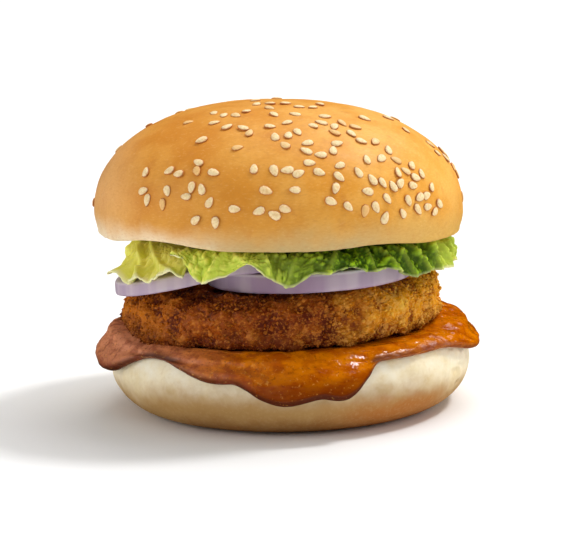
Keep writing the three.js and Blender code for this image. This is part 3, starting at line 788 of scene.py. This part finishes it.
LEFT_LEAF = dict(
    margin=(110, 239), inside=(112, 230), level=-1.2, sag=0.3, edge=42.4,
    flare=[
        (110, 1), (160, 0), (194, 0), (203, 8), (207, 7), (213, 8.2), (229, 8.2), (239, 7.2),
    ],
    hang=[
        (110, 5), (121, 9), (134, 6.6), (147, 9.2), (160, 6.4), (173, 8.2), (185, 5.8), (195, 6),
        (203, 8), (207, 7.6), (218, 8.4), (229, 6.8), (239, 5.4),
    ],
    crinkle=[(110, 0.9), (180, 0.7), (239, 0.75)],
    youth=[(110, 0.2), (190, 0.6), (215, 0.7), (239, 0.8)],
    folds=[
        (118, 121, 4, 1), (131, 128, 4, 1), (144, 147, 4, 1.1), (158, 155, 4, 1), (171, 174, 4, 1.1),
        (186, 184, 4, 0.9), (190, 224, 4, 1.1), (205, 236, 4, 0.9),
    ],
)
FLARE_POWER = 4
RUFFLES = 25
SWAY = dict(folds=14, degrees=1.4)


def leaf_point(leaf, around, inward, hanging):
    """A point of a leaf: around from one torn end to the other, inward from the inside to where
    the leaf bends, and hanging from there to the margin."""
    torn = lerp(*leaf["margin"], around)
    turn = math.radians(lerp(lerp(*leaf["inside"], around), torn, hanging))
    bend = hanging * math.pi / 2
    bend_at = leaf["edge"] - LEAF["overhang"]
    spread = eased(leaf["flare"], torn) * hanging ** FLARE_POWER
    depth = eased(leaf["hang"], torn)
    ripple = LEAF["ripple"] * math.sin(RUFFLES * turn) * hanging * hanging
    r = lerp(LEAF["inner"], bend_at, inward) + LEAF["overhang"] * math.sin(bend) + spread + ripple
    z = leaf["level"] - leaf["sag"] * (1 - inward * inward) - depth * (1 - math.cos(bend)) + ripple
    a = turn + math.radians(SWAY["degrees"]) * math.sin(SWAY["folds"] * turn) * hanging
    return Vector((r * math.cos(a), r * math.sin(a), z)), torn


def leaf_relief(leaf, torn, out_mm, hanging):
    """How far the blistered leaf stands off its sheet, how puffed it is and how sharp a fold is."""
    spot = (1.2 * math.radians(torn) * leaf["edge"], 0.8 * out_mm, 0)
    crinkle = eased(leaf["crinkle"], torn)
    blister = grains(spot, 3.6, seed=0, crease=0.65, ragged=0.8)
    small = grains(spot, 1.7, seed=9, crease=0.65, ragged=0.8)
    crumpled = lumps(spot, 2.8, 8)
    ridge = 0
    height = 0
    for top, margin, half, rise in leaf["folds"]:
        share = abs(torn - lerp(top, margin, hanging)) / half
        if share < 1:
            height += rise * (1 - share) ** 2
            ridge = max(ridge, smooth(share, 0.28, 0.05))
    free = smooth(out_mm, 24, 46)
    off = crinkle * (0.8 * blister + 0.45 * small + 0.9 * crumpled - 0.7) + 1.3 * lumps(spot, 7, 4)
    off += 1.7 * height - 0.4
    return off * free, 0.5 * blister + 0.4 * small + 0.4 * crumpled, ridge * free


def lettuce(name, leaf, columns, finish, slot, node):
    rows, bend_row = 64, 18
    sheet = bmesh.new()
    bmesh.ops.create_grid(sheet, x_segments=columns, y_segments=rows, size=0.5)
    margin, puffed = float_layer(sheet, "margin"), float_layer(sheet, "puffed")
    youth, ridge = float_layer(sheet, "youth"), float_layer(sheet, "ridge")
    spots = []
    for vert in sheet.verts:
        around, out = vert.co.x + 0.5, (vert.co.y + 0.5) * rows
        inward = min(out / bend_row, 1)
        hanging = max(0, (out - bend_row) / (rows - bend_row))
        vert.co, torn = leaf_point(leaf, around, inward, hanging)
        spots.append((torn, inward * leaf["edge"] + hanging * 10, hanging))
        vert[youth] = eased(leaf["youth"], torn)
        vert[margin] = smooth(hanging, 0.93, 0.99) * lerp(0.25, 1, vert[youth])
    sheet.normal_update()
    normals = [vert.normal.copy() for vert in sheet.verts]
    for vert, normal, (torn, out_mm, hanging) in zip(sheet.verts, normals, spots):
        off, vert[puffed], vert[ridge] = leaf_relief(leaf, torn, out_mm, hanging)
        vert.co -= normal * off
        along_mm = math.radians(torn) * leaf["edge"]
        curl = 0.9 * lumps((along_mm, 0, 3), 2.8) + 0.45 * lumps((along_mm, out_mm, 5), 1.4)
        frill = smooth(hanging, 0.5, 1) * curl * eased(leaf["crinkle"], torn)
        vert.co += Vector((vert.co.x, vert.co.y, 0)).normalized() * frill
        vert.co.z = min(vert.co.z + 0.35 * frill, -0.25)
    obj = piece(name, sheet, LID, finish, slot, node)
    wall = obj.modifiers.new("leaf_thickness", "SOLIDIFY")
    wall.thickness = LEAF["wall"] * MM
    wall.offset = 0
    return obj


def leaves():
    green = leaf_finish("green_lettuce", shade(34, 78, 0), shade(162, 208, 16),
                        shade(255, 251, 118), shade(250, 248, 186))
    yellow = leaf_finish("yellow_lettuce", shade(186, 190, 24), shade(244, 244, 82),
                         shade(255, 253, 150), shade(254, 250, 196))
    lettuce("lettuce_leaf_right", RIGHT_LEAF, 460, green, "green_leaf", "lettuce_right")
    lettuce("lettuce_leaf_left", LEFT_LEAF, 250, yellow, "yellow_leaf", "lettuce_left")


# ---- Bun top ----

RISES = [(231, 26, 1.7), (302, 22, 1), (80, 60, 0.9)]


def dome_uneven(degrees, up):
    a = math.radians(degrees)
    return (0.008 * math.cos(2 * a + 2.6) + 0.007 * math.cos(3 * a + 0.4)) * (1 - 0.6 * up * up)


def dome_point(degrees, up):
    """Distance from the axis and height: up is 0 at the widest and 1 at the apex."""
    turn = up * math.pi / 2
    power = 2 / BUN_TOP["fullness"]
    r = BUN_TOP["radius"] * max(math.cos(turn), 0) ** power * (1 + dome_uneven(degrees, up))
    z = BUN_TOP["widest_at"] + (BUN_TOP["height"] - BUN_TOP["widest_at"]) * math.sin(turn) ** power
    return r, z


def bun_top():
    rim, cut_round, hollow = BUN_TOP["rim"], BUN_TOP["cut_round"], BUN_TOP["hollow"]
    cut_share, corner_share, widest_share = 0.14, 0.2, 0.28

    def place(degrees, share):
        wide = 1 + dome_uneven(degrees, 0)
        edge = total(RISES, degrees)
        if share <= cut_share:
            out = share / cut_share
            r = (rim * wide - cut_round) * out
            crumb = 0.35 * lumps(around_axis(degrees, r, 0), 2.2) * smooth(out, 0, 0.2)
            return around_axis(degrees, r, lerp(hollow, edge, smooth(out, 0.8, 1)) + crumb * (1 - out ** 8))
        if share <= corner_share:
            turn = (share - cut_share) / (corner_share - cut_share) * math.pi / 2
            r = rim * wide - cut_round * (1 - math.sin(turn))
            z = edge + cut_round * (1 - math.cos(turn))
        elif share <= widest_share:
            up = (share - corner_share) / (widest_share - corner_share)
            r = lerp(rim * wide, dome_point(degrees, 0)[0], math.sin(up * math.pi / 2))
            z = lerp(edge + cut_round, BUN_TOP["widest_at"], up)
        else:
            r, z = dome_point(degrees, (share - widest_share) / (1 - widest_share))
        point = around_axis(degrees, r, z)
        torn = (1 - smooth(z, 0.6, 3.2)) * (0.4 * lumps(point, 3.2, 3) + 0.3 * lumps(point, 1.1, 5))
        relief = 0.32 * lumps(point, 15) + 0.1 * lumps(point, 5) + 0.025 * lumps(point, 1.6) + torn
        outward = Vector((point.x, point.y, z * 0.8)).normalized()
        return point + outward * relief * smooth(r, 0, 3)

    skin = turned_skin(place, fine=10, along=130)
    return piece("top_crust", skin, LID, crust_finish(), "crust", "bun_top")


CROWDS = [
    (242, 0.19, 10, 10), (248, 0.05, 7, 3), (228, 0.17, 5, 3), (266, 0.17, 9, 8), (262, 0.49, 6, 4),
    (280, 0.31, 10, 9), (292, 0.17, 7, 5), (301, 0.28, 9, 6), (309, 0.11, 10, 13), (321, 0.17, 8, 6),
    (285, 0.45, 9, 7), (304, 0.42, 8, 4), (288, 0.7, 10, 9), (240, 0.6, 9, 6), (250, 0.8, 9, 6),
    (348, 0.3, 9, 7), (20, 0.25, 10, 8), (58, 0.15, 10, 9), (95, 0.45, 10, 8), (128, 0.2, 10, 9),
    (168, 0.5, 10, 6),
]
SCATTER = dict(draw=7, loose=24, tries=40, closest=2.7, lowest=0.005, highest=0.97)


def seeded_draw(seed):
    """The same draws as the seeds of the solids are spread by."""
    whole = 0xFFFFFFFF
    state = seed

    def draw():
        nonlocal state
        state = (state + 0x6D2B79F5) & whole
        t = state
        t = ((t ^ (t >> 15)) * (t | 1)) & whole
        t ^= (t + (((t ^ (t >> 7)) * (t | 61)) & whole)) & whole
        return ((t ^ (t >> 14)) & whole) / 4294967296

    draw()
    return draw


def seed_places():
    """Where each seed lies on the dome: its point, the dome's normal there and the seed's turn."""
    draw = seeded_draw(SCATTER["draw"])
    places = []

    def surface(degrees, up):
        return around_axis(degrees, *dome_point(degrees, up))

    def settle(aim):
        for _ in range(SCATTER["tries"]):
            degrees, up = aim()
            if up < SCATTER["lowest"] or up > SCATTER["highest"]:
                continue
            point = surface(degrees, up)
            if any((other - point).length < SCATTER["closest"] for other, _, _ in places):
                continue
            side = surface(degrees + 1, up) - point
            rise = surface(degrees, up + 0.01) - point
            places.append((point, side.cross(rise).normalized(), draw() * TURN))
            return

    def aim_in_crowd():
        step = reach * math.sqrt(draw())
        way = draw() * TURN
        degrees = direction + math.degrees(step * math.cos(way) / r)
        return degrees, up + step * math.sin(way) / BUN_TOP["radius"]

    def aim_anywhere():
        return draw() * 360, math.asin(draw()) / (math.pi / 2)

    for direction, up, reach, count in CROWDS:
        r = dome_point(direction, up)[0]
        for _ in range(count):
            settle(aim_in_crowd)
    for _ in range(SCATTER["loose"]):
        settle(aim_anywhere)
    return places


def sesame_seeds():
    rng = random.Random(11)
    seeds = bmesh.new()
    bmesh.ops.create_uvsphere(seeds, u_segments=10, v_segments=6, radius=0.5)
    tone, rim = float_layer(seeds, "tone"), float_layer(seeds, "rim")
    length, width, height = SEED["length"], SEED["width"], SEED["height"]
    places = seed_places()
    for verts, (point, normal, spin) in zip(copies(seeds, len(places)), places):
        size = rng.uniform(0.84, 0.98)
        toasted = rng.random() ** 3
        turn = Vector((0, 0, 1)).rotation_difference(normal) @ Quaternion((0, 0, 1), spin)
        where = point + normal * height * (0.5 - SEED["sunk"])
        tilt = Quaternion((rng.uniform(-1, 1), rng.uniform(-1, 1), 0), rng.uniform(0, 0.16))
        for vert in verts:
            x, y, z = vert.co
            vert[tone] = toasted
            # This share marks the seed's lower rim, which the finish darkens partly as painted contact shade.
            vert[rim] = 1 - smooth(z, 0, 0.4)
            shaped = Vector((x * length, y * width * (1 - 0.64 * x), z * height * (1 - 0.3 * x))) * size
            vert.co = where + turn @ (tilt @ shaped)
    return piece("sesame_seeds", seeds, LID, seed_finish(), "pale_crumb", "bun_top")


# ---- Floor, light and camera ----

VIEW = dict(distance=450, height=38, elevation=9, roll=1.5, focal_px=1575, picture_px=573, sensor=36)


def stand_camera():
    tilt, roll = math.radians(VIEW["elevation"]), math.radians(VIEW["roll"])
    ahead = Vector((0, math.cos(tilt), -math.sin(tilt)))
    up = Vector((0, math.sin(tilt), math.cos(tilt)))
    side = Vector((1, 0, 0))
    right = side * math.cos(roll) - up * math.sin(roll)
    above = side * math.sin(roll) + up * math.cos(roll)
    data = bpy.data.cameras.new("camera")
    data.sensor_width = VIEW["sensor"]
    data.lens = VIEW["focal_px"] * VIEW["sensor"] / VIEW["picture_px"]
    data.clip_start = 0.01
    camera = bpy.data.objects.new("camera", data)
    bpy.context.scene.collection.objects.link(camera)
    place = Vector((0, 0, VIEW["height"])) - ahead * VIEW["distance"]
    facing = Matrix((right, above, -ahead)).transposed().to_4x4()
    camera.matrix_world = Matrix.Translation(place * MM) @ facing
    bpy.context.scene.camera = camera


def soft_light(name, toward, power, angle, mirrored=True):
    """A distant lamp, as wide as an angle in degrees, in a direction from the burger. One that
    isn't mirrored leaves no shine on wet surfaces."""
    data = bpy.data.lights.new(name, "SUN")
    data.energy = power
    data.angle = math.radians(angle)
    obj = bpy.data.objects.new(name, data)
    bpy.context.scene.collection.objects.link(obj)
    obj.rotation_euler = Vector(toward).to_track_quat("Z", "Y").to_euler()
    obj.visible_glossy = mirrored


def pale_sky():
    """A dim studio that is white only along the horizon, where it meets the floor, and soft overhead.
    Like the floor, it isn't mirrored, so wet surfaces show the lamps alone."""
    world = bpy.data.worlds.new("studio")
    world.use_nodes = True
    nodes, links = world.node_tree.nodes, world.node_tree.links
    direction = nodes.new("ShaderNodeTexCoord")
    split = nodes.new("ShaderNodeSeparateXYZ")
    links.new(direction.outputs["Generated"], split.inputs[0])
    both = nodes.new("ShaderNodeMath")
    both.operation = "ADD"
    for socket, low, high, at_low, at_high in ((0, 0.02, 0.06, 1.1, 0.1), (1, 0.2, 1, 0, 0.45)):
        fade = nodes.new("ShaderNodeMapRange")
        for given, value in zip(fade.inputs[1:5], (low, high, at_low, at_high)):
            given.default_value = value
        links.new(split.outputs["Z"], fade.inputs["Value"])
        links.new(fade.outputs[0], both.inputs[socket])
    links.new(both.outputs[0], nodes["Background"].inputs["Strength"])
    nodes["Background"].inputs["Color"].default_value = (1, 1, 1, 1)
    bpy.context.scene.world = world
    world.cycles_visibility.glossy = False


def studio():
    bm = bmesh.new()
    bmesh.ops.create_grid(bm, x_segments=1, y_segments=1, size=40)
    mesh = bpy.data.meshes.new("floor")
    bm.to_mesh(mesh)
    bm.free()
    floor = bpy.data.objects.new("floor", mesh)
    bpy.context.scene.collection.objects.link(floor)
    paper = Finish("white_paper", Roughness=0.9, Specular_IOR_Level=0.1)
    mesh.materials.append(paper.end(shade(250, 250, 250)))
    floor.visible_glossy = False
    pale_sky()
    soft_light("overhead", (0.3, 0.4, 0.85), power=1.25, angle=46)
    soft_light("from_left", (-0.85, -0.2, 0.35), power=0.95, angle=40)
    soft_light("from_right", (0.85, -0.1, 0.35), power=0.8, angle=40, mirrored=False)
    soft_light("glint", (0.52, 0.2, 0.83), power=1.35, angle=10)
    bpy.context.scene.view_settings.view_transform = "Standard"


stand_camera()
studio()
bun_base()
sauce()
patty()
loose_crumbs()
onions()
leaves()
bun_top()
sesame_seeds()
